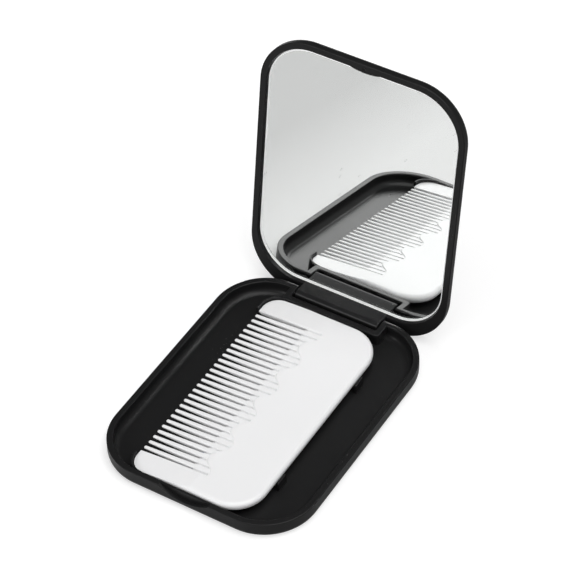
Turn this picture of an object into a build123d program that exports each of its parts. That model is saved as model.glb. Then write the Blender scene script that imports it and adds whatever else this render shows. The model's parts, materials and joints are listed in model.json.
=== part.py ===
"""A pocket mirror with a comb: a shallow tray, a lid that holds a mirror, and a comb lying in the tray.

The origin is the middle of the tray's underside. +Z is up, and the hinge is at the back, on the +Y side.
The lid stands open. Its sketches lie on planes of lid_frame, where z is the height that each has when shut.
"""
from math import hypot
import os

from build123d import *

# Outline that the tray and the lid share
case_width = 75.0
case_length = 97.75
corner_radius = 18.6
rim_width = 2.2
rim_edge_radius = 0.3

# Tray
tray_height = 6.2
floor_thickness = 1.9
underside_radius = 2.6
floor_blend_radius = 2.4

# Lid
parting_gap = 0.3
lid_depth = 4.4
lid_back_radius = 2.6
mirror_recess = 1.0
mirror_inset = 2.6
hinge_rim_width = 5.3

# Mirror and the tape behind it
glass_thickness = 0.9
glass_clearance = 0.1
glass_edge_chamfer = 0.1
tape_thickness = 0.5
tape_width = 14.0
tape_from_side = 9.9
tape_from_end = 11.9

# Hinge
open_angle = 99.3
hinge_from_back = 1.975
hinge_height = 2.96
leaf_width = 31.8
leaf_bottom = 0.5
leaf_front_radius = 1.6
leaf_back_radius = 2.0
leaf_side_radius = 0.3
leaf_end_clearance = 0.5
swing_clearance = 0.2
roll_clearance = 0.1
pin_diameter = 1.5
pin_in_tray = 1.8
pin_in_leaf = 3.7
pin_end_chamfer = 0.2
pin_press_clearance = 0.01
pin_running_clearance = 0.05
pin_end_clearance = 0.2
island_corner_radius = 1.2
notch_corner_radius = 0.8
notch_edge_chamfer = 0.25

# Thumb scoop in the front of the tray, and the catch tab on the lid above it
scoop_width = 18.7
scoop_height = 3.1
scoop_depth = 1.3
tab_width = 14.4
tab_reach = 1.3
tab_step = 0.6
tab_mirror_clearance = 0.05
tab_edge_radius = 0.15
dimple_radius = 0.9
dimple_depth = 0.35
dimple_from_edge = 1.95

# Comb
comb_width = 44.5
comb_side_shift = 0.3
comb_end_clearance = 0.4
comb_lift = 1.9
comb_thickness = 3.1
comb_edge_radius = 1.4
spine_corner_radius = 11.7
guard_corner_radius = 5.6
tip_thickness = 0.7
tip_drop = 1.95
root_thickness = 2.3
root_drop = 0.6
guard_slope_end = 22.6
tooth_count = 27
tooth_pitch = 2.583
slot_length = 19.2
slot_root_width = 0.75
slot_mouth_width = 1.45
tooth_tip_edge_radius = 0.33
tooth_root_edge_radius = 0.5
tooth_nose_length = 0.35
tooth_nose_inset = 0.25
tooth_nose_radius = 0.08

# Sunk tooth field on the comb's upper face, with its scalloped edge
field_margin = 0.45
field_wall_angle = 50.0
wave_count = 5
wave_height = 2.1
wave_middle = 23.1
wave_lead_hinge = 1.05
wave_lead_front = -0.2
groove_depth = 0.7
groove_bottom_width = 0.2
groove_wall_angle = 22.0
groove_end_margin = 0.2

# Ribs and stops that keep the comb in place, and the rests that it lies on
rib_clearance = 0.3
rib_thickness = 0.75
rib_reach_hinge = 8.0
rib_reach_front = 6.4
rib_reach_side = 6.6
rib_edge_radius = 0.25
stop_thickness = 0.8
stop_length = 4.6
stop_spacing = 48.0
stop_edge_radius = 0.25
rest_diameter = 3.0
rest_from_end = 4.0
rest_from_tips = 8.0
rest_from_spine = 5.0

# Places that follow from the sizes
overcut = 1.0
back_y = case_length / 2
hinge_y = back_y - hinge_from_back
lid_rim_z = tray_height + parting_gap
mirror_face_z = lid_rim_z + mirror_recess
mirror_bed_z = mirror_face_z + glass_thickness + tape_thickness
leaf_face_y = back_y - hinge_rim_width
leaf_swing = leaf_front_radius + hypot(
    hinge_y - leaf_face_y - leaf_front_radius, hinge_height - leaf_bottom - leaf_front_radius
)
notch_front_y = hinge_y - leaf_swing - swing_clearance
notch_width = leaf_width + 2 * leaf_end_clearance
island_front_y = notch_front_y - rim_width
island_width = notch_width + 2 * rim_width
pocket_front_y = -back_y + rim_width
glass_width = case_width - 2 * mirror_inset - 2 * glass_clearance
glass_length = case_length - mirror_inset - hinge_rim_width - 2 * glass_clearance
glass_y = (mirror_inset - hinge_rim_width) / 2

# The lid's frame: the shut case's own frame, turned open about the hinge line
hinge_turned = Plane(origin=(0, hinge_y, hinge_height)).rotated((-open_angle, 0, 0))
lid_frame = Plane(
    origin=hinge_turned.from_local_coords((0, -hinge_y, -hinge_height)),
    x_dir=hinge_turned.x_dir,
    z_dir=hinge_turned.z_dir,
)
lid_up = Axis(lid_frame.origin, lid_frame.z_dir)
lid_side_view = Plane(origin=lid_frame.origin, x_dir=lid_frame.y_dir, z_dir=lid_frame.x_dir)
pin_places = {"left": -1, "right": 1}


def case_outline(inset=0.0):
    """Draw the case's outline, inset all round."""
    RectangleRounded(case_width - 2 * inset, case_length - 2 * inset, corner_radius - inset)


def mirror_outline(inset, clearance=0.0):
    """Draw the mirror's outline: the rim is wider at the hinge than on the other sides."""
    extra_rim = hinge_rim_width - mirror_inset
    with Locations((0, -extra_rim / 2)):
        RectangleRounded(
            case_width - 2 * inset - 2 * clearance,
            case_length - 2 * inset - extra_rim - 2 * clearance,
            corner_radius - inset - clearance,
        )


# Comb places: it lies between the front wall and the hinge island, a little to the left
comb_length = island_front_y - pocket_front_y - 2 * comb_end_clearance
comb_x = -comb_side_shift
comb_y = (island_front_y + pocket_front_y) / 2
comb_base_z = floor_thickness + comb_lift
comb_top_z = comb_base_z + comb_thickness
tip_top_z = comb_top_z - tip_drop
root_top_z = comb_top_z - root_drop
tip_x = comb_x - comb_width / 2
spine_x = comb_x + comb_width / 2
slot_count = tooth_count + 1
slots_span = tooth_count * tooth_pitch
first_slot_y = comb_y + slots_span / 2
field_hinge_y = first_slot_y + field_margin
field_front_y = first_slot_y - slots_span - field_margin
wave_start_y = first_slot_y - wave_lead_hinge
wave_length = (slots_span - wave_lead_hinge - wave_lead_front) / wave_count
crest_reach = wave_middle + wave_height
slot_root_x = tip_x + slot_length - slot_root_width / 2
slot_places = [first_slot_y - index * tooth_pitch for index in range(slot_count)]
field_slope = (root_top_z - tip_top_z) / (slot_root_x - tip_x)


def field_outline(plane, pull=0.0):
    """Give a sketch of the tooth field on a plane, with its scalloped edge pulled back towards the tips."""
    with BuildSketch(plane) as outline:
        with BuildLine():
            crest = (crest_reach - pull, wave_start_y)
            Polyline((-overcut, field_front_y), (-overcut, field_hinge_y), (crest[0], field_hinge_y), crest)
            for wave in range(wave_count):
                falling = (crest[0] - wave_height, crest[1] - wave_length / 4)
                trough = (crest[0] - 2 * wave_height, crest[1] - wave_length / 2)
                rising = (crest[0] - wave_height, crest[1] - 3 * wave_length / 4)
                next_crest = (crest[0], crest[1] - wave_length)
                TangentArc(crest, falling, tangent=(0, -1))
                ThreePointArc(falling, trough, rising)
                TangentArc(next_crest, rising, tangent=(0, 1))
                crest = next_crest
            Polyline(crest, (crest[0], field_front_y), (-overcut, field_front_y))
        make_face()
    return outline.sketch


def comb_outline(base_z, grow=0.0):
    """Give a sketch of the comb's outline at a height, grown all round."""
    with BuildSketch(Plane.XY.offset(base_z)) as outline:
        with Locations((comb_x, comb_y)):
            Rectangle(comb_width, comb_length)
        fillet(outline.vertices().group_by(Axis.X)[0], guard_corner_radius)
        fillet(outline.vertices().group_by(Axis.X)[-1], spine_corner_radius)
        if grow:
            offset(amount=grow)
    return outline.sketch


# Island: the block that frames the hinge notch, with its upper edge rounded like the rim
with BuildPart() as island:
    with BuildSketch(Plane.XY.offset(floor_thickness)) as island_plan:
        with Locations((0, island_front_y)):
            Rectangle(island_width, hinge_rim_width + rim_width, align=(Align.CENTER, Align.MIN))
        fillet(island_plan.vertices().group_by(Axis.Y)[0], island_corner_radius)
    extrude(amount=tray_height - floor_thickness)
    island_top = island.edges().group_by(Axis.Z)[-1]
    fillet(island_top.sort_by(Axis.Y)[:-1], rim_edge_radius)

# Ribs round the two tooth-side corners of the comb
with BuildPart() as ribs:
    rib_corners = (
        (island_front_y, rib_reach_hinge, Align.MAX),
        (pocket_front_y, rib_reach_front, Align.MIN),
    )
    for corner_y, reach, side in rib_corners:
        with BuildSketch(Plane.XY.offset(floor_thickness)):
            add(comb_outline(floor_thickness, rib_clearance + rib_thickness))
            add(comb_outline(floor_thickness, rib_clearance), mode=Mode.SUBTRACT)
            with Locations((tip_x - rib_clearance - rib_thickness, corner_y)):
                Rectangle(rib_reach_side, reach, align=(Align.MIN, side), mode=Mode.INTERSECT)
        extrude(amount=tray_height - floor_thickness)
    rib_tops = ribs.edges().group_by(Axis.Z)[-1].filter_by(lambda edge: edge.length > rib_edge_radius)
    free_tops = rib_tops.filter_by_position(Axis.Y, pocket_front_y, island_front_y, inclusive=(False, False))
    fillet(free_tops, rib_edge_radius)

# Stops beside the comb's spine
with BuildPart() as stops:
    with BuildSketch(Plane.XY.offset(floor_thickness)):
        with Locations((spine_x + rib_clearance + stop_thickness / 2, comb_y)):
            with GridLocations(0, stop_spacing, 1, 2):
                Rectangle(stop_thickness, stop_length)
    extrude(amount=comb_base_z + comb_thickness / 2 - floor_thickness)
    fillet(stops.edges().group_by(Axis.Z)[-1], stop_edge_radius)

# Rests under the comb, which hold it off the floor
with BuildPart() as rests:
    with BuildSketch(Plane.XY.offset(floor_thickness)):
        with Locations((tip_x + rest_from_tips, comb_y)):
            with GridLocations(0, comb_length - 2 * rest_from_end, 1, 2):
                Circle(rest_diameter / 2)
        with Locations((spine_x - rest_from_spine, comb_y)):
            with GridLocations(0, stop_spacing, 1, 2):
                Circle(rest_diameter / 2)
    extrude(amount=comb_lift)

# Tray: one moulding with its pocket, the island, the ribs, stops, rests and thumb scoop
with BuildPart() as tray_shell:
    with BuildSketch():
        case_outline()
    extrude(amount=tray_height)
    fillet(tray_shell.edges().group_by(Axis.Z)[0], underside_radius)
    with BuildSketch(Plane.XY.offset(floor_thickness)):
        case_outline(rim_width)
    extrude(amount=tray_height - floor_thickness, mode=Mode.SUBTRACT)
    fillet(tray_shell.edges().group_by(Axis.Z)[-1], rim_edge_radius)
    pocket_floor = tray_shell.faces().filter_by(Axis.Z).sort_by(Axis.Z)[1]
    fillet(pocket_floor.edges(), floor_blend_radius)

    for upstand in (island, ribs, stops, rests):
        add(upstand.part)

    # Notch for the hinge leaf, with its upper edge chamfered
    with BuildSketch() as notch:
        with Locations((0, notch_front_y)):
            Rectangle(notch_width, hinge_rim_width + 2 * leaf_swing, align=(Align.CENTER, Align.MIN))
        fillet(notch.vertices().group_by(Axis.Y)[0], notch_corner_radius)
    extrude(amount=tray_height, mode=Mode.SUBTRACT)
    with BuildSketch(Plane.XY.offset(tray_height - notch_edge_chamfer)):
        add(notch.sketch)
    extrude(amount=notch_edge_chamfer, taper=-45, mode=Mode.SUBTRACT)

    # Thumb scoop: a shallow round bite out of the front wall
    scoop_radius = (scoop_width**2 / 4 + scoop_height**2) / (2 * scoop_height)
    with BuildSketch(Plane.XZ.offset(back_y - scoop_depth)):
        with Locations((0, tray_height + scoop_radius - scoop_height)):
            Circle(scoop_radius)
    extrude(amount=scoop_depth, mode=Mode.SUBTRACT)

    # The back edge is rounded about the hinge line, so that the lid's rim rolls over it
    with BuildSketch(Plane.YZ):
        with Locations((hinge_y, hinge_height)):
            Rectangle(back_y, tray_height, align=Align.MIN)
            Circle(lid_rim_z - hinge_height - roll_clearance, mode=Mode.SUBTRACT)
    extrude(amount=case_width / 2, both=True, mode=Mode.SUBTRACT)

    # Blind bores for the hinge pins
    for side in pin_places.values():
        with BuildSketch(Plane.YZ.offset(side * notch_width / 2)):
            with Locations((hinge_y, hinge_height)):
                Circle(pin_diameter / 2 + pin_press_clearance)
        extrude(amount=side * (pin_in_tray + pin_end_clearance), mode=Mode.SUBTRACT)
tray_shell.part.label = "tray_shell"


# Catch tab: a shallow arc that reaches in over the mirror's front edge
tab_radius = (tab_width**2 / 4 + tab_reach**2) / (2 * tab_reach)
with BuildPart() as catch_tab:
    with BuildSketch(lid_frame.offset(lid_rim_z + tab_step)):
        with Locations((0, pocket_front_y + tab_reach - tab_radius)):
            Circle(tab_radius)
        with Locations((0, -back_y + rim_width / 2)):
            Rectangle(tab_width, 2 * tab_width, align=(Align.CENTER, Align.MIN), mode=Mode.INTERSECT)
    extrude(amount=mirror_recess - tab_step - tab_mirror_clearance)
    fillet(catch_tab.edges().group_by(lid_up)[0].filter_by(GeomType.CIRCLE), tab_edge_radius)

# Hinge leaf: it hangs from the lid's hinge-side rim into the tray's notch
with BuildPart() as leaf:
    with BuildSketch(lid_side_view) as leaf_profile:
        with Locations((leaf_face_y, leaf_bottom)):
            Rectangle(back_y - leaf_face_y, mirror_face_z - leaf_bottom, align=Align.MIN)
        fillet(leaf_profile.vertices().group_by(Axis.Y)[0].sort_by(Axis.X)[0], leaf_front_radius)
        fillet(leaf_profile.vertices().group_by(Axis.Y)[0].sort_by(Axis.X)[-1], leaf_back_radius)
    extrude(amount=leaf_width / 2, both=True)
    leaf_ends = leaf.faces().filter_by(Axis.X).edges()
    fillet(leaf_ends.group_by(lid_up)[:-1], leaf_side_radius)

# Lid: one moulding with the mirror's bed, the catch tab and the hinge leaf
with BuildPart() as lid_shell:
    with BuildSketch(lid_frame.offset(lid_rim_z)):
        case_outline()
    extrude(amount=lid_depth)
    fillet(lid_shell.edges().group_by(lid_up)[-1], lid_back_radius)
    fillet(lid_shell.edges().group_by(lid_up)[0], rim_edge_radius)
    with BuildSketch(lid_frame.offset(mirror_face_z)):
        mirror_outline(mirror_inset)
    extrude(amount=mirror_bed_z - mirror_face_z, mode=Mode.SUBTRACT)
    with BuildSketch(lid_frame.offset(lid_rim_z)):
        mirror_outline(rim_width)
    with BuildSketch(lid_frame.offset(mirror_face_z)):
        mirror_outline(mirror_inset)
    loft(mode=Mode.SUBTRACT)

    # The tab, and a dimple in the rim beside it
    add(catch_tab.part)
    dimple_z = lid_rim_z + dimple_depth - dimple_radius
    with Locations(lid_frame.from_local_coords((0, -back_y + dimple_from_edge, dimple_z))):
        Sphere(dimple_radius, mode=Mode.SUBTRACT)

    # The leaf, and a blind bore for a hinge pin in each of its ends
    add(leaf.part)
    for side in pin_places.values():
        with BuildSketch(lid_side_view.offset(side * leaf_width / 2)):
            with Locations((hinge_y, hinge_height)):
                Circle(pin_diameter / 2 + pin_running_clearance)
        extrude(amount=-side * (pin_in_leaf + pin_end_clearance), mode=Mode.SUBTRACT)
lid_shell.part.label = "lid_shell"

# Mirror: a plate of silvered glass with its edges ground
with BuildPart() as mirror_glass:
    with BuildSketch(lid_frame.offset(mirror_face_z)):
        mirror_outline(mirror_inset, glass_clearance)
    extrude(amount=glass_thickness)
    rim_edges = mirror_glass.edges().group_by(lid_up)
    chamfer(rim_edges[0] + rim_edges[-1], glass_edge_chamfer)
mirror_glass.part.label = "mirror_glass"

# Tape: two strips of double-sided tape hold the glass in its bed
tapes = {}
for name, side in pin_places.items():
    with BuildPart() as tape:
        with BuildSketch(lid_frame.offset(mirror_face_z + glass_thickness)):
            with Locations((side * (glass_width / 2 - tape_from_side - tape_width / 2), glass_y)):
                Rectangle(tape_width, glass_length - 2 * tape_from_end)
        extrude(amount=tape_thickness)
    tape.part.label = f"mirror_tape_{name}"
    tapes[name] = tape

# Hinge pins: one at each end of the leaf, pressed into the tray
pins = {}
for name, side in pin_places.items():
    with BuildPart() as pin:
        with BuildSketch(Plane.YZ.offset(side * (leaf_width / 2 - pin_in_leaf))):
            with Locations((hinge_y, hinge_height)):
                Circle(pin_diameter / 2)
        extrude(amount=side * (pin_in_leaf + leaf_end_clearance + pin_in_tray))
        chamfer(pin.edges(), pin_end_chamfer)
    pin.part.label = f"hinge_pin_{name}"
    pins[name] = pin

# Tooth field: the wedge of air above the teeth, drawn on the teeth's own slope
field_plane = Plane(
    origin=(tip_x, 0, tip_top_z),
    x_dir=(1, 0, field_slope),
    z_dir=(-field_slope, 0, 1),
)
with BuildPart() as tooth_field:
    extrude(field_outline(field_plane), amount=comb_thickness / 2, taper=-field_wall_angle)

# Flared grooves that run on from the slots to the scalloped edge
with BuildPart() as grooves:
    groove_start = slot_root_x - tip_x
    with BuildSketch(field_plane.offset(-groove_depth)):
        with Locations(*[(groove_start, slot_y) for slot_y in slot_places]):
            Rectangle(crest_reach - groove_start, groove_bottom_width, align=(Align.MIN, Align.CENTER))
    extrude(amount=2 * groove_depth, taper=-groove_wall_angle)
    field_floor = field_outline(field_plane.offset(-groove_depth), groove_end_margin)
    extrude(field_floor, amount=2 * groove_depth, mode=Mode.INTERSECT)

# One tooth of the comb: it tapers to its tip both ways, and its edges are well rounded
with BuildPart() as tooth:
    tip_width = tooth_pitch - slot_mouth_width
    tooth_sections = (
        (
            0,
            tip_width - 2 * tooth_nose_inset,
            tip_top_z - tooth_nose_inset,
            tip_thickness - 2 * tooth_nose_inset,
            tooth_nose_radius,
        ),
        (tooth_nose_length, tip_width, tip_top_z, tip_thickness, tooth_tip_edge_radius),
        (
            slot_root_x - tip_x,
            tooth_pitch - slot_root_width,
            root_top_z,
            root_thickness,
            tooth_root_edge_radius,
        ),
    )
    for reach, width, top_z, thickness, edge_radius in tooth_sections:
        with BuildSketch(Plane.YZ.offset(tip_x + reach)):
            with Locations((0, top_z - thickness / 2)):
                RectangleRounded(width, thickness, edge_radius)
    loft(ruled=True)

# Comb: rounded edges, thin teeth, guards at both ends
with BuildPart() as comb:
    add(comb_outline(comb_base_z))
    extrude(amount=comb_thickness)
    slab_edges = comb.edges().group_by(Axis.Z)
    fillet(slab_edges[0] + slab_edges[-1], comb_edge_radius)

    # The upper face slopes down to the tips
    with BuildSketch(Plane.XZ):
        with BuildLine():
            Polyline(
                (tip_x, comb_base_z),
                (tip_x, tip_top_z),
                (tip_x + guard_slope_end, comb_top_z),
                (spine_x, comb_top_z),
                (spine_x, comb_base_z),
                close=True,
            )
        make_face()
    extrude(amount=comb_length, both=True, mode=Mode.INTERSECT)

    # The gap between the guards, with round slot ends, where the teeth stand
    with BuildSketch(Plane.XY.offset(comb_base_z)):
        mouth_growth = overcut * (slot_mouth_width - slot_root_width) / (slot_root_x - tip_x)
        mouth_reach = (slots_span + slot_mouth_width + mouth_growth) / 2
        root_reach = (slots_span + slot_root_width) / 2
        with Locations((0, comb_y)):
            Polygon(
                (tip_x - overcut, -mouth_reach),
                (slot_root_x, -root_reach),
                (slot_root_x, root_reach),
                (tip_x - overcut, mouth_reach),
                align=None,
            )
        with Locations(*[(slot_root_x, slot_y) for slot_y in slot_places]):
            Circle(slot_root_width / 2)
    extrude(amount=comb_thickness, mode=Mode.SUBTRACT)
    for hollow in (tooth_field, grooves):
        add(hollow.part, mode=Mode.SUBTRACT)

    # Teeth
    with Locations(*[(0, slot_y - tooth_pitch / 2, 0) for slot_y in slot_places[:-1]]):
        add(tooth.part)
comb.part.label = "comb"

os.makedirs("parts", exist_ok=True)
for piece in (tray_shell, lid_shell, mirror_glass, *tapes.values(), *pins.values(), comb):
    export_step(piece.part, f"parts/{piece.part.label}.step")
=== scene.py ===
import json
import math

import bmesh
import bpy
from mathutils import Matrix, Vector


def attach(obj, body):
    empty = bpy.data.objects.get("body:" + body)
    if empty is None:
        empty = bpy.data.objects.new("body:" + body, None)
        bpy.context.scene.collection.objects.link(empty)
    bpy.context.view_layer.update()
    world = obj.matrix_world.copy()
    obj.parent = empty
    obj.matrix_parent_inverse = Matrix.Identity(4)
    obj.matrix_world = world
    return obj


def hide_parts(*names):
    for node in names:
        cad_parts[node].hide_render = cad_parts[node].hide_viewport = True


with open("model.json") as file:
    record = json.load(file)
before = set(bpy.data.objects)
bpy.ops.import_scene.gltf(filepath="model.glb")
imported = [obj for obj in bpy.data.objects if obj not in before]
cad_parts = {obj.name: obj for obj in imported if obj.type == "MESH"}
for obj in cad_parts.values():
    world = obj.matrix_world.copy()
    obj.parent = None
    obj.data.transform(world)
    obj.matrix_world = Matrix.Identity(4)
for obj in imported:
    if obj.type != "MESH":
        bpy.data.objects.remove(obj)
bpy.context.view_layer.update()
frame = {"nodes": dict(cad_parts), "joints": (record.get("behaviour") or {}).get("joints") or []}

# Viewpoint: the compact stands on a table and is seen through a long lens, from above its front
# right corner. The camera is VIEW_DISTANCE from a point at the foot of the open lid, and leans a little.
VIEW_POINT = Vector((-0.0165, 0.041876, 0.010805))
VIEW_DISTANCE = 0.87948
VIEW_AZIMUTH = math.radians(33.004)
VIEW_ELEVATION = math.radians(45.025)
VIEW_LEAN = math.radians(-2.408)
FOCAL_PIXELS = 2638.26
PICTURE_PIXELS = 576
FILM_WIDTH_MM = 36
NEAREST_SEEN = 0.05
FARTHEST_SEEN = 20

backward = Vector((
    math.sin(VIEW_AZIMUTH) * math.cos(VIEW_ELEVATION),
    -math.cos(VIEW_AZIMUTH) * math.cos(VIEW_ELEVATION),
    math.sin(VIEW_ELEVATION),
))
level_right = Vector((0, 0, 1)).cross(backward).normalized()
level_up = backward.cross(level_right)
camera_right = math.cos(VIEW_LEAN) * level_right + math.sin(VIEW_LEAN) * level_up
camera_up = backward.cross(camera_right)
lens = bpy.data.cameras.new("long_lens")
lens.sensor_width = FILM_WIDTH_MM
lens.lens = FOCAL_PIXELS / PICTURE_PIXELS * FILM_WIDTH_MM
lens.clip_start = NEAREST_SEEN
lens.clip_end = FARTHEST_SEEN
camera = bpy.data.objects.new("long_lens", lens)
camera_turn = Matrix((camera_right, camera_up, backward)).transposed().to_4x4()
camera.matrix_world = Matrix.Translation(VIEW_POINT + VIEW_DISTANCE * backward) @ camera_turn
bpy.context.collection.objects.link(camera)
bpy.context.scene.camera = camera
bpy.context.scene.view_settings.view_transform = "Standard"

# Table: a sheet of pale card that keeps a soft shadow under the compact. Its colour is painted darker
# towards the right, as painted shade. The eye sees it lifted to white, and the mirror sees it lifted a
# little, more towards the right, as painted light. The light that it throws back stays that of plain card.
TABLE_SIZE = 6.0
TABLE_SQUARES = 8
TABLE_DROP = 0.0002
WHITE = (1, 1, 1, 1)
CARD_TONE_AND_PAINTED_SHADE = (0.62, 0.28)
CARD_ROUGHNESS = 0.9
CARD_GLOSS = 0
CARD_LIFT_SEEN = (0.52, 0.76)
CARD_PAINTED_LIGHT_MIRRORED = (0.04, 0.26)
CARD_FADE_LEFT = -0.087
CARD_FADE_RIGHT = -0.043
CARD_PAINTED_SHADE_START = 0.0
CARD_PAINTED_SHADE_END = 0.065
CARD_FAR_LIFT = 0.45
CARD_FAR_START = 0.25
CARD_FAR_END = 1.1

table_mesh = bpy.data.meshes.new("table")
table_build = bmesh.new()
bmesh.ops.create_grid(table_build, x_segments=TABLE_SQUARES, y_segments=TABLE_SQUARES, size=TABLE_SIZE / 2)
table_build.to_mesh(table_mesh)
table_build.free()
table = bpy.data.objects.new("table", table_mesh)
table.location.z = -TABLE_DROP
bpy.context.collection.objects.link(table)
card = bpy.data.materials.new("table_card")
card.use_nodes = True
card_nodes = card.node_tree.nodes
card_links = card.node_tree.links
card_surface = card_nodes["Principled BSDF"]
card_surface.inputs["Roughness"].default_value = CARD_ROUGHNESS
card_surface.inputs["Specular IOR Level"].default_value = CARD_GLOSS
card_surface.inputs["Emission Color"].default_value = WHITE
card_ray = card_nodes.new("ShaderNodeLightPath")
card_place = card_nodes.new("ShaderNodeTexCoord")
card_across = card_nodes.new("ShaderNodeSeparateXYZ")
# The card's colour darkens towards the right: painted shade.
card_tone_and_painted_shade = card_nodes.new("ShaderNodeMapRange")
card_tone_and_painted_shade.inputs["From Min"].default_value = CARD_PAINTED_SHADE_START
card_tone_and_painted_shade.inputs["From Max"].default_value = CARD_PAINTED_SHADE_END
card_tone_and_painted_shade.inputs["To Min"].default_value = CARD_TONE_AND_PAINTED_SHADE[0]
card_tone_and_painted_shade.inputs["To Max"].default_value = CARD_TONE_AND_PAINTED_SHADE[1]
card_white = card_nodes.new("ShaderNodeMapRange")
card_white.inputs["From Min"].default_value = CARD_PAINTED_SHADE_START
card_white.inputs["From Max"].default_value = CARD_PAINTED_SHADE_END
card_white.inputs["To Min"].default_value = CARD_LIFT_SEEN[0]
card_white.inputs["To Max"].default_value = CARD_LIFT_SEEN[1]
card_distance = card_nodes.new("ShaderNodeVectorMath")
card_distance.operation = "LENGTH"
card_far = card_nodes.new("ShaderNodeMapRange")
card_far.inputs["From Min"].default_value = CARD_FAR_START
card_far.inputs["From Max"].default_value = CARD_FAR_END
card_far.inputs["To Max"].default_value = CARD_FAR_LIFT
whole_lift = card_nodes.new("ShaderNodeMath")
whole_lift.operation = "ADD"
seen_lift = card_nodes.new("ShaderNodeMath")
seen_lift.operation = "MULTIPLY"
# What the mirror sees of the card glows more towards the right: painted light.
card_fade = card_nodes.new("ShaderNodeMapRange")
card_fade.inputs["From Min"].default_value = CARD_FADE_LEFT
card_fade.inputs["From Max"].default_value = CARD_FADE_RIGHT
card_fade.inputs["To Min"].default_value = CARD_PAINTED_LIGHT_MIRRORED[0]
card_fade.inputs["To Max"].default_value = CARD_PAINTED_LIGHT_MIRRORED[1]
mirrored_lift = card_nodes.new("ShaderNodeMath")
mirrored_lift.operation = "MULTIPLY_ADD"
card_links.new(card_place.outputs["Object"], card_across.inputs["Vector"])
card_links.new(card_across.outputs["X"], card_tone_and_painted_shade.inputs["Value"])
card_links.new(card_across.outputs["X"], card_white.inputs["Value"])
card_links.new(card_across.outputs["X"], card_fade.inputs["Value"])
card_links.new(card_tone_and_painted_shade.outputs["Result"], card_surface.inputs["Base Color"])
card_links.new(card_place.outputs["Object"], card_distance.inputs[0])
card_links.new(card_distance.outputs["Value"], card_far.inputs["Value"])
card_links.new(card_white.outputs["Result"], whole_lift.inputs[0])
card_links.new(card_far.outputs["Result"], whole_lift.inputs[1])
card_links.new(whole_lift.outputs["Value"], seen_lift.inputs[1])
card_links.new(card_fade.outputs["Result"], mirrored_lift.inputs[1])
card_links.new(card_ray.outputs["Is Camera Ray"], seen_lift.inputs[0])
card_links.new(card_ray.outputs["Is Transmission Ray"], mirrored_lift.inputs[0])
card_links.new(seen_lift.outputs["Value"], mirrored_lift.inputs[2])
card_links.new(mirrored_lift.outputs["Value"], card_surface.inputs["Emission Strength"])
table_mesh.materials.append(card)

# Studio: a dim room, darkest towards the upper back left and lightest towards the lower front right, and
# white to the eye. A broad softbox hangs overhead and a little to the right, a faint one stands at the
# right, and a bright one is low at the front left.
ROOM_LIGHT_BACK = 0.08
ROOM_LIGHT_FRONT = 0.50
ROOM_LIGHT_SEEN = 1.0
ROOM_DARK_SIDE = (-0.45, 0.75, 0.48)
ROOM_FADE_START = 0.75
ROOM_FADE_END = -0.45
SOFTBOXES = {
    # name: (degrees to the right of the front, degrees up, distance, width and height in m, radiance)
    "overhead_softbox": (95, 75, 1.15, 1.10, 1.10, 3.0),
    "right_softbox": (72, 32, 1.30, 0.60, 0.50, 0.8),
    "front_left_softbox": (-27, 27, 1.30, 0.60, 0.42, 5.5),
}
SOFTBOX_TARGET = Vector((0, 0.02, 0.02))

world = bpy.data.worlds.new("studio")
bpy.context.scene.world = world
world.use_nodes = True
room_nodes = world.node_tree.nodes
room_links = world.node_tree.links
room = room_nodes["Background"]
room.inputs["Color"].default_value = WHITE
room_direction = room_nodes.new("ShaderNodeTexCoord")
room_side = room_nodes.new("ShaderNodeVectorMath")
room_side.operation = "DOT_PRODUCT"
room_side.inputs[1].default_value = ROOM_DARK_SIDE
room_fade = room_nodes.new("ShaderNodeMapRange")
room_fade.interpolation_type = "SMOOTHSTEP"
room_fade.inputs["From Min"].default_value = ROOM_FADE_START
room_fade.inputs["From Max"].default_value = ROOM_FADE_END
room_fade.inputs["To Min"].default_value = ROOM_LIGHT_BACK
room_fade.inputs["To Max"].default_value = ROOM_LIGHT_FRONT
room_ray = room_nodes.new("ShaderNodeLightPath")
room_level = room_nodes.new("ShaderNodeMix")
room_level.inputs["B"].default_value = ROOM_LIGHT_SEEN
room_links.new(room_direction.outputs["Generated"], room_side.inputs[0])
room_links.new(room_side.outputs["Value"], room_fade.inputs["Value"])
room_links.new(room_fade.outputs["Result"], room_level.inputs["A"])
room_links.new(room_ray.outputs["Is Camera Ray"], room_level.inputs["Factor"])
room_links.new(room_level.outputs["Result"], room.inputs["Strength"])

for softbox_name, (azimuth, elevation, distance, width, height, radiance) in SOFTBOXES.items():
    softbox_data = bpy.data.lights.new(softbox_name, "AREA")
    softbox_data.shape = "RECTANGLE"
    softbox_data.size = width
    softbox_data.size_y = height
    softbox_data.energy = radiance * math.pi * width * height
    softbox = bpy.data.objects.new(softbox_name, softbox_data)
    azimuth, elevation = math.radians(azimuth), math.radians(elevation)
    toward = Vector((
        math.sin(azimuth) * math.cos(elevation),
        -math.cos(azimuth) * math.cos(elevation),
        math.sin(elevation),
    ))
    softbox.location = SOFTBOX_TARGET + distance * toward
    softbox.rotation_euler = toward.to_track_quat("Z", "Y").to_euler()
    softbox.visible_camera = False
    bpy.context.collection.objects.link(softbox)

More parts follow.
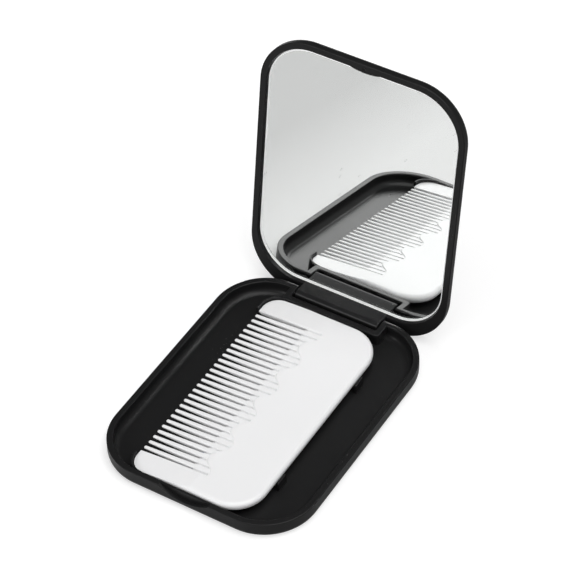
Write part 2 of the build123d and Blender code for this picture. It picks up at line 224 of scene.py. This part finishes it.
# Tray shell: the lower half of the case, one moulding in black ABS with a fine satin texture.
# Handling has polished its edges a little; their lighter colour is wear and painted highlight, and the
# texture holds a trace of dust.
ABS_BLACK = (0.0110, 0.0110, 0.0113, 1)
ABS_WEAR_AND_SHEEN = (0.0150, 0.0150, 0.0155, 1)
ABS_DUST = (0.30, 0.30, 0.29, 1)
SATIN_ROUGHNESS = (0.26, 0.34)
POLISHED_ROUGHNESS = 0.23
SATIN_GLOSS = 0.20
CLOUD_SCALE = 60
CLOUD_DETAIL = 5
TEXTURE_SCALE = 2600
TEXTURE_DETAIL = 2
TEXTURE_STRENGTH = 0.5
TEXTURE_DEPTH = 0.000006
EDGE_SAMPLES = 6
EDGE_WIDTH = 0.00045
EDGE_TURN_SOFT = 0.995
EDGE_TURN_SHARP = 0.90
DUST_SCALE = 900
DUST_SIZE = 0.10
DUST_PATCH_SCALE = 35
DUST_PATCH_START = 0.60
DUST_PATCH_END = 0.80


def satin_black(name, seed):
    """Black ABS with a fine mould texture, edges polished by handling and lightened as wear and painted
    highlight, and sparse dust.
    """
    finish = bpy.data.materials.new(name)
    finish.use_nodes = True
    nodes = finish.node_tree.nodes
    links = finish.node_tree.links
    surface = nodes["Principled BSDF"]
    surface.inputs["Specular IOR Level"].default_value = SATIN_GLOSS
    place = nodes.new("ShaderNodeTexCoord")
    shift = nodes.new("ShaderNodeMapping")
    shift.inputs["Location"].default_value = (seed, seed / 2, seed / 3)
    links.new(place.outputs["Object"], shift.inputs["Vector"])

    bevel = nodes.new("ShaderNodeBevel")
    bevel.samples = EDGE_SAMPLES
    bevel.inputs["Radius"].default_value = EDGE_WIDTH
    shape = nodes.new("ShaderNodeNewGeometry")
    turn = nodes.new("ShaderNodeVectorMath")
    turn.operation = "DOT_PRODUCT"
    links.new(bevel.outputs["Normal"], turn.inputs[0])
    links.new(shape.outputs["Normal"], turn.inputs[1])
    edge = nodes.new("ShaderNodeMapRange")
    edge.inputs["From Min"].default_value = EDGE_TURN_SOFT
    edge.inputs["From Max"].default_value = EDGE_TURN_SHARP
    links.new(turn.outputs["Value"], edge.inputs["Value"])

    clouds = nodes.new("ShaderNodeTexNoise")
    clouds.inputs["Scale"].default_value = CLOUD_SCALE
    clouds.inputs["Detail"].default_value = CLOUD_DETAIL
    links.new(shift.outputs["Vector"], clouds.inputs["Vector"])
    # Edges a touch lighter, broken up by the clouds: wear and painted edge highlight.
    wear_and_sheen = nodes.new("ShaderNodeMath")
    wear_and_sheen.operation = "MULTIPLY"
    links.new(edge.outputs["Result"], wear_and_sheen.inputs[0])
    links.new(clouds.outputs["Fac"], wear_and_sheen.inputs[1])
    body_colour = nodes.new("ShaderNodeMix")
    body_colour.data_type = "RGBA"
    body_colour.inputs["A"].default_value = ABS_BLACK
    body_colour.inputs["B"].default_value = ABS_WEAR_AND_SHEEN
    links.new(wear_and_sheen.outputs["Value"], body_colour.inputs["Factor"])

    specks = nodes.new("ShaderNodeTexVoronoi")
    specks.inputs["Scale"].default_value = DUST_SCALE
    links.new(shift.outputs["Vector"], specks.inputs["Vector"])
    speck = nodes.new("ShaderNodeMath")
    speck.operation = "LESS_THAN"
    speck.inputs[1].default_value = DUST_SIZE
    links.new(specks.outputs["Distance"], speck.inputs[0])
    patches = nodes.new("ShaderNodeTexNoise")
    patches.inputs["Scale"].default_value = DUST_PATCH_SCALE
    links.new(shift.outputs["Vector"], patches.inputs["Vector"])
    patch = nodes.new("ShaderNodeMapRange")
    patch.inputs["From Min"].default_value = DUST_PATCH_START
    patch.inputs["From Max"].default_value = DUST_PATCH_END
    links.new(patches.outputs["Fac"], patch.inputs["Value"])
    dust = nodes.new("ShaderNodeMath")
    dust.operation = "MULTIPLY"
    links.new(speck.outputs["Value"], dust.inputs[0])
    links.new(patch.outputs["Result"], dust.inputs[1])
    dusted = nodes.new("ShaderNodeMix")
    dusted.data_type = "RGBA"
    dusted.inputs["B"].default_value = ABS_DUST
    links.new(body_colour.outputs["Result"], dusted.inputs["A"])
    links.new(dust.outputs["Value"], dusted.inputs["Factor"])
    links.new(dusted.outputs["Result"], surface.inputs["Base Color"])

    satin = nodes.new("ShaderNodeMapRange")
    satin.inputs["To Min"].default_value = SATIN_ROUGHNESS[0]
    satin.inputs["To Max"].default_value = SATIN_ROUGHNESS[1]
    links.new(clouds.outputs["Fac"], satin.inputs["Value"])
    polish = nodes.new("ShaderNodeMix")
    polish.inputs["B"].default_value = POLISHED_ROUGHNESS
    links.new(satin.outputs["Result"], polish.inputs["A"])
    links.new(edge.outputs["Result"], polish.inputs["Factor"])
    links.new(polish.outputs["Result"], surface.inputs["Roughness"])

    grain = nodes.new("ShaderNodeTexNoise")
    grain.inputs["Scale"].default_value = TEXTURE_SCALE
    grain.inputs["Detail"].default_value = TEXTURE_DETAIL
    links.new(shift.outputs["Vector"], grain.inputs["Vector"])
    relief = nodes.new("ShaderNodeBump")
    relief.inputs["Strength"].default_value = TEXTURE_STRENGTH
    relief.inputs["Distance"].default_value = TEXTURE_DEPTH
    links.new(grain.outputs["Fac"], relief.inputs["Height"])
    links.new(relief.outputs["Normal"], surface.inputs["Normal"])
    return finish


for slot in frame["nodes"]["tray_shell"].material_slots:
    slot.material = satin_black("tray_satin_black", seed=0.0)

# Hinge pins: two short ends of drawn steel wire, cut and pressed into the tray on either side
# of the leaf. Drawing leaves fine lines along the wire.
STEEL = (0.62, 0.62, 0.63, 1)
STEEL_DULL = (0.46, 0.46, 0.47, 1)
STEEL_ROUGHNESS = (0.22, 0.38)
DRAW_LINES = (150, 9000, 9000)
DRAW_DETAIL = 3
DRAW_STRENGTH = 0.3
DRAW_DEPTH = 0.000004

pin_steel = bpy.data.materials.new("pin_drawn_steel")
pin_steel.use_nodes = True
steel_nodes = pin_steel.node_tree.nodes
steel_links = pin_steel.node_tree.links
steel_surface = steel_nodes["Principled BSDF"]
steel_surface.inputs["Metallic"].default_value = 1
steel_place = steel_nodes.new("ShaderNodeTexCoord")
along_wire = steel_nodes.new("ShaderNodeMapping")
along_wire.inputs["Scale"].default_value = DRAW_LINES
draw_lines = steel_nodes.new("ShaderNodeTexNoise")
draw_lines.inputs["Scale"].default_value = 1
draw_lines.inputs["Detail"].default_value = DRAW_DETAIL
steel_colour = steel_nodes.new("ShaderNodeMix")
steel_colour.data_type = "RGBA"
steel_colour.inputs["A"].default_value = STEEL
steel_colour.inputs["B"].default_value = STEEL_DULL
steel_satin = steel_nodes.new("ShaderNodeMapRange")
steel_satin.inputs["To Min"].default_value = STEEL_ROUGHNESS[0]
steel_satin.inputs["To Max"].default_value = STEEL_ROUGHNESS[1]
steel_relief = steel_nodes.new("ShaderNodeBump")
steel_relief.inputs["Strength"].default_value = DRAW_STRENGTH
steel_relief.inputs["Distance"].default_value = DRAW_DEPTH
steel_links.new(steel_place.outputs["Object"], along_wire.inputs["Vector"])
steel_links.new(along_wire.outputs["Vector"], draw_lines.inputs["Vector"])
steel_links.new(draw_lines.outputs["Fac"], steel_colour.inputs["Factor"])
steel_links.new(draw_lines.outputs["Fac"], steel_satin.inputs["Value"])
steel_links.new(draw_lines.outputs["Fac"], steel_relief.inputs["Height"])
steel_links.new(steel_colour.outputs["Result"], steel_surface.inputs["Base Color"])
steel_links.new(steel_satin.outputs["Result"], steel_surface.inputs["Roughness"])
steel_links.new(steel_relief.outputs["Normal"], steel_surface.inputs["Normal"])
for pin in ("hinge_pin_left", "hinge_pin_right"):
    for slot in frame["nodes"][pin].material_slots:
        slot.material = pin_steel

# Lid shell: the upper half of the case, from the same black ABS, with the mirror's bed, the catch
# tab and the hinge leaf in one moulding.
for slot in frame["nodes"]["lid_shell"].material_slots:
    slot.material = satin_black("lid_satin_black", seed=0.4)

# Mirror tapes: two strips of thin white double-sided foam tape, pressed between the lid and the
# back of the glass.
FOAM_WHITE = (0.82, 0.82, 0.80, 1)
FOAM_SHADE = (0.70, 0.70, 0.68, 1)
FOAM_ROUGHNESS = 0.85
FOAM_CELLS = 2400
FOAM_DEPTH = 0.00003

foam_tape = bpy.data.materials.new("foam_tape")
foam_tape.use_nodes = True
foam_nodes = foam_tape.node_tree.nodes
foam_links = foam_tape.node_tree.links
foam_surface = foam_nodes["Principled BSDF"]
foam_surface.inputs["Roughness"].default_value = FOAM_ROUGHNESS
foam_place = foam_nodes.new("ShaderNodeTexCoord")
foam_cells = foam_nodes.new("ShaderNodeTexVoronoi")
foam_cells.inputs["Scale"].default_value = FOAM_CELLS
foam_colour = foam_nodes.new("ShaderNodeMix")
foam_colour.data_type = "RGBA"
foam_colour.inputs["A"].default_value = FOAM_WHITE
foam_colour.inputs["B"].default_value = FOAM_SHADE
foam_relief = foam_nodes.new("ShaderNodeBump")
foam_relief.inputs["Distance"].default_value = FOAM_DEPTH
foam_links.new(foam_place.outputs["Object"], foam_cells.inputs["Vector"])
foam_links.new(foam_cells.outputs["Distance"], foam_colour.inputs["Factor"])
foam_links.new(foam_cells.outputs["Distance"], foam_relief.inputs["Height"])
foam_links.new(foam_colour.outputs["Result"], foam_surface.inputs["Base Color"])
foam_links.new(foam_relief.outputs["Normal"], foam_surface.inputs["Normal"])
for tape in ("mirror_tape_left", "mirror_tape_right"):
    for slot in frame["nodes"][tape].material_slots:
        slot.material = foam_tape

# Mirror: a plate of clear float glass, silvered on its back, with its outline ground smooth and a
# narrow ground bevel on each face, stuck into the lid's bed. A faint glow on the ground edge stands in
# for the light that the glass carries there, which shows as a bright line.
PANE_CORNER = 0.0159
PANE_BEVEL = 0.0001
ARRIS_AT_SIDES = 0.00022
ARRIS_AT_ENDS = 0.0005
ARRIS_DEPTH = 0.00015
PAINT_GAP = 0.00003
CORNER_STEPS = 40
GLASS_TINT = (0.985, 0.995, 0.99, 1)
GLASS_IOR = 1.52
GLASS_CLEARNESS = 1
FACE_ROUGHNESS = 0.0
GROUND_ROUGHNESS = 0.30
GROUND_CLEARNESS = 0.03
GROUND_GLOW = 0.33
GRIT_SCALE = 900
GRIT_SPREAD = 0.5
SILVER = (0.93, 0.935, 0.93, 1)
SILVER_ROUGHNESS = 0.0
SPECK_SCALE = 260
SPECK_SIZE = 0.045
SPECK_PATCH_SCALE = 40
SPECK_PATCH_START = 0.52
SPECK_TONE = (0.45, 0.45, 0.45, 1)
SPECK_CLEARNESS = 0.4

# The pane is laid out as it lies in the shut case, then turned open with the lid about the hinge.
hinge = frame["joints"][0]
hinge_line = Matrix.Translation(Vector(hinge["pos_m"]))
open_turn = hinge_line @ Matrix.Rotation(-math.radians(hinge["range_deg"][1]), 4, "X") @ hinge_line.inverted()
shut_glass = [open_turn.inverted() @ corner.co for corner in frame["nodes"]["mirror_glass"].data.vertices]
pane_low = Vector([min(corner[axis] for corner in shut_glass) for axis in range(3)])
pane_high = Vector([max(corner[axis] for corner in shut_glass) for axis in range(3)])


def pane_ring(build, inset_sides, inset_ends, height):
    """Add one ring of points round the pane's outline, inset from its edges, at a height when shut."""
    ring = []
    reach_x = PANE_CORNER - inset_sides
    reach_y = PANE_CORNER - inset_ends
    corners = (
        (pane_high.x - PANE_CORNER, pane_high.y - PANE_CORNER),
        (pane_low.x + PANE_CORNER, pane_high.y - PANE_CORNER),
        (pane_low.x + PANE_CORNER, pane_low.y + PANE_CORNER),
        (pane_high.x - PANE_CORNER, pane_low.y + PANE_CORNER),
    )
    for quarter, (centre_x, centre_y) in enumerate(corners):
        for step in range(CORNER_STEPS + 1):
            angle = math.pi / 2 * (quarter + step / CORNER_STEPS)
            point_x = centre_x + reach_x * math.cos(angle)
            point_y = centre_y + reach_y * math.sin(angle)
            ring.append(build.verts.new(open_turn @ Vector((point_x, point_y, height))))
    return ring


CLEAR, GROUND, SILVERED = range(3)
pane_mesh = bpy.data.meshes.new("mirror_pane")
pane_build = bmesh.new()
pane_rings = [
    pane_ring(pane_build, ARRIS_AT_SIDES, ARRIS_AT_ENDS, pane_low.z),
    pane_ring(pane_build, 0, 0, pane_low.z + ARRIS_DEPTH),
    pane_ring(pane_build, 0, 0, pane_high.z - PAINT_GAP - PANE_BEVEL),
    pane_ring(pane_build, PANE_BEVEL, PANE_BEVEL, pane_high.z - PAINT_GAP),
]
front_face = pane_build.faces.new(reversed(pane_rings[0]))
front_face.material_index = CLEAR
back_face = pane_build.faces.new(pane_rings[-1])
back_face.material_index = SILVERED
for lower, upper in zip(pane_rings, pane_rings[1:]):
    for index in range(len(lower)):
        after = (index + 1) % len(lower)
        side = pane_build.faces.new((lower[index], lower[after], upper[after], upper[index]))
        side.material_index = GROUND
        side.smooth = True
pane_build.normal_update()
for ring in pane_rings:
    for index in range(len(ring)):
        pane_build.edges.get((ring[index], ring[(index + 1) % len(ring)])).smooth = False
pane_build.to_mesh(pane_mesh)
pane_build.free()
mirror_pane = bpy.data.objects.new("mirror_pane", pane_mesh)
bpy.context.collection.objects.link(mirror_pane)


def clear_glass(name, roughness):
    """Clear float glass with a faint tint, as smooth as the roughness says."""
    finish = bpy.data.materials.new(name)
    finish.use_nodes = True
    surface = finish.node_tree.nodes["Principled BSDF"]
    surface.inputs["Base Color"].default_value = GLASS_TINT
    surface.inputs["Transmission Weight"].default_value = GLASS_CLEARNESS
    surface.inputs["IOR"].default_value = GLASS_IOR
    surface.inputs["Roughness"].default_value = roughness
    return finish


# The face has sparse specks of dust.
pane_face = clear_glass("mirror_face_glass", FACE_ROUGHNESS)
face_nodes = pane_face.node_tree.nodes
face_links = pane_face.node_tree.links
face_surface = face_nodes["Principled BSDF"]
face_place = face_nodes.new("ShaderNodeTexCoord")
face_specks = face_nodes.new("ShaderNodeTexVoronoi")
face_specks.inputs["Scale"].default_value = SPECK_SCALE
face_patches = face_nodes.new("ShaderNodeTexNoise")
face_patches.inputs["Scale"].default_value = SPECK_PATCH_SCALE
speck_here = face_nodes.new("ShaderNodeMath")
speck_here.operation = "LESS_THAN"
speck_here.inputs[1].default_value = SPECK_SIZE
patch_here = face_nodes.new("ShaderNodeMath")
patch_here.operation = "GREATER_THAN"
patch_here.inputs[1].default_value = SPECK_PATCH_START
speck_mask = face_nodes.new("ShaderNodeMath")
speck_mask.operation = "MULTIPLY"
clear_here = face_nodes.new("ShaderNodeMapRange")
clear_here.inputs["To Min"].default_value = GLASS_CLEARNESS
clear_here.inputs["To Max"].default_value = SPECK_CLEARNESS
face_colour = face_nodes.new("ShaderNodeMix")
face_colour.data_type = "RGBA"
face_colour.inputs["A"].default_value = GLASS_TINT
face_colour.inputs["B"].default_value = SPECK_TONE
face_links.new(face_place.outputs["Object"], face_specks.inputs["Vector"])
face_links.new(face_place.outputs["Object"], face_patches.inputs["Vector"])
face_links.new(face_specks.outputs["Distance"], speck_here.inputs[0])
face_links.new(face_patches.outputs["Fac"], patch_here.inputs[0])
face_links.new(speck_here.outputs["Value"], speck_mask.inputs[0])
face_links.new(patch_here.outputs["Value"], speck_mask.inputs[1])
face_links.new(speck_mask.outputs["Value"], clear_here.inputs["Value"])
face_links.new(clear_here.outputs["Result"], face_surface.inputs["Transmission Weight"])
face_links.new(speck_mask.outputs["Value"], face_colour.inputs["Factor"])
face_links.new(face_colour.outputs["Result"], face_surface.inputs["Base Color"])

pane_rim = clear_glass("mirror_ground_rim", GROUND_ROUGHNESS)
rim_nodes = pane_rim.node_tree.nodes
rim_links = pane_rim.node_tree.links
rim_surface = rim_nodes["Principled BSDF"]
rim_surface.inputs["Transmission Weight"].default_value = GROUND_CLEARNESS
rim_surface.inputs["Emission Color"].default_value = WHITE
rim_surface.inputs["Emission Strength"].default_value = GROUND_GLOW
rim_place = rim_nodes.new("ShaderNodeTexCoord")
rim_grit = rim_nodes.new("ShaderNodeTexNoise")
rim_grit.inputs["Scale"].default_value = GRIT_SCALE
rim_satin = rim_nodes.new("ShaderNodeMapRange")
rim_satin.inputs["To Min"].default_value = GROUND_ROUGHNESS * (1 - GRIT_SPREAD)
rim_satin.inputs["To Max"].default_value = GROUND_ROUGHNESS * (1 + GRIT_SPREAD)
rim_links.new(rim_place.outputs["Object"], rim_grit.inputs["Vector"])
rim_links.new(rim_grit.outputs["Fac"], rim_satin.inputs["Value"])
rim_links.new(rim_satin.outputs["Result"], rim_surface.inputs["Roughness"])

pane_silver = bpy.data.materials.new("mirror_silver")
pane_silver.use_nodes = True
silver_surface = pane_silver.node_tree.nodes["Principled BSDF"]
silver_surface.inputs["Base Color"].default_value = SILVER
silver_surface.inputs["Metallic"].default_value = 1
silver_surface.inputs["Roughness"].default_value = SILVER_ROUGHNESS
for finish in (pane_face, pane_rim, pane_silver):
    pane_mesh.materials.append(finish)
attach(mirror_pane, "lid")
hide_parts("mirror_glass")

# Comb: one moulding in white polystyrene, with a soft gloss. A little light gets into the plastic,
# so its thin teeth and edges glow softly, and its faces have the slight swirl of the melt.
COMB_WHITE = (0.86, 0.86, 0.865, 1)
COMB_SWIRL = (0.83, 0.83, 0.835, 1)
COMB_ROUGHNESS = (0.30, 0.40)
COMB_GLOSS = 0.35
COMB_GLOW = 0.08
COMB_GLOW_DEPTH = 0.0008
COMB_GLOW_REACH = (1, 0.95, 0.9)
SWIRL_SCALE = 28
SWIRL_DETAIL = 4
SWIRL_BEND = 1.5
COMB_GRAIN_SCALE = 1500
COMB_GRAIN_STRENGTH = 0.4
COMB_GRAIN_DEPTH = 0.000004

comb_plastic = bpy.data.materials.new("comb_white_plastic")
comb_plastic.use_nodes = True
comb_nodes = comb_plastic.node_tree.nodes
comb_links = comb_plastic.node_tree.links
comb_surface = comb_nodes["Principled BSDF"]
comb_surface.inputs["Specular IOR Level"].default_value = COMB_GLOSS
comb_surface.inputs["Subsurface Weight"].default_value = COMB_GLOW
comb_surface.inputs["Subsurface Radius"].default_value = COMB_GLOW_REACH
comb_surface.inputs["Subsurface Scale"].default_value = COMB_GLOW_DEPTH
comb_place = comb_nodes.new("ShaderNodeTexCoord")
swirl = comb_nodes.new("ShaderNodeTexNoise")
swirl.inputs["Scale"].default_value = SWIRL_SCALE
swirl.inputs["Detail"].default_value = SWIRL_DETAIL
swirl.inputs["Distortion"].default_value = SWIRL_BEND
comb_colour = comb_nodes.new("ShaderNodeMix")
comb_colour.data_type = "RGBA"
comb_colour.inputs["A"].default_value = COMB_WHITE
comb_colour.inputs["B"].default_value = COMB_SWIRL
comb_satin = comb_nodes.new("ShaderNodeMapRange")
comb_satin.inputs["To Min"].default_value = COMB_ROUGHNESS[0]
comb_satin.inputs["To Max"].default_value = COMB_ROUGHNESS[1]
comb_grain = comb_nodes.new("ShaderNodeTexNoise")
comb_grain.inputs["Scale"].default_value = COMB_GRAIN_SCALE
comb_relief = comb_nodes.new("ShaderNodeBump")
comb_relief.inputs["Strength"].default_value = COMB_GRAIN_STRENGTH
comb_relief.inputs["Distance"].default_value = COMB_GRAIN_DEPTH
comb_links.new(comb_place.outputs["Object"], swirl.inputs["Vector"])
comb_links.new(comb_place.outputs["Object"], comb_grain.inputs["Vector"])
comb_links.new(swirl.outputs["Fac"], comb_colour.inputs["Factor"])
comb_links.new(swirl.outputs["Fac"], comb_satin.inputs["Value"])
comb_links.new(comb_grain.outputs["Fac"], comb_relief.inputs["Height"])
comb_links.new(comb_colour.outputs["Result"], comb_surface.inputs["Base Color"])
comb_links.new(comb_satin.outputs["Result"], comb_surface.inputs["Roughness"])
comb_links.new(comb_relief.outputs["Normal"], comb_surface.inputs["Normal"])
for slot in frame["nodes"]["comb"].material_slots:
    slot.material = comb_plastic
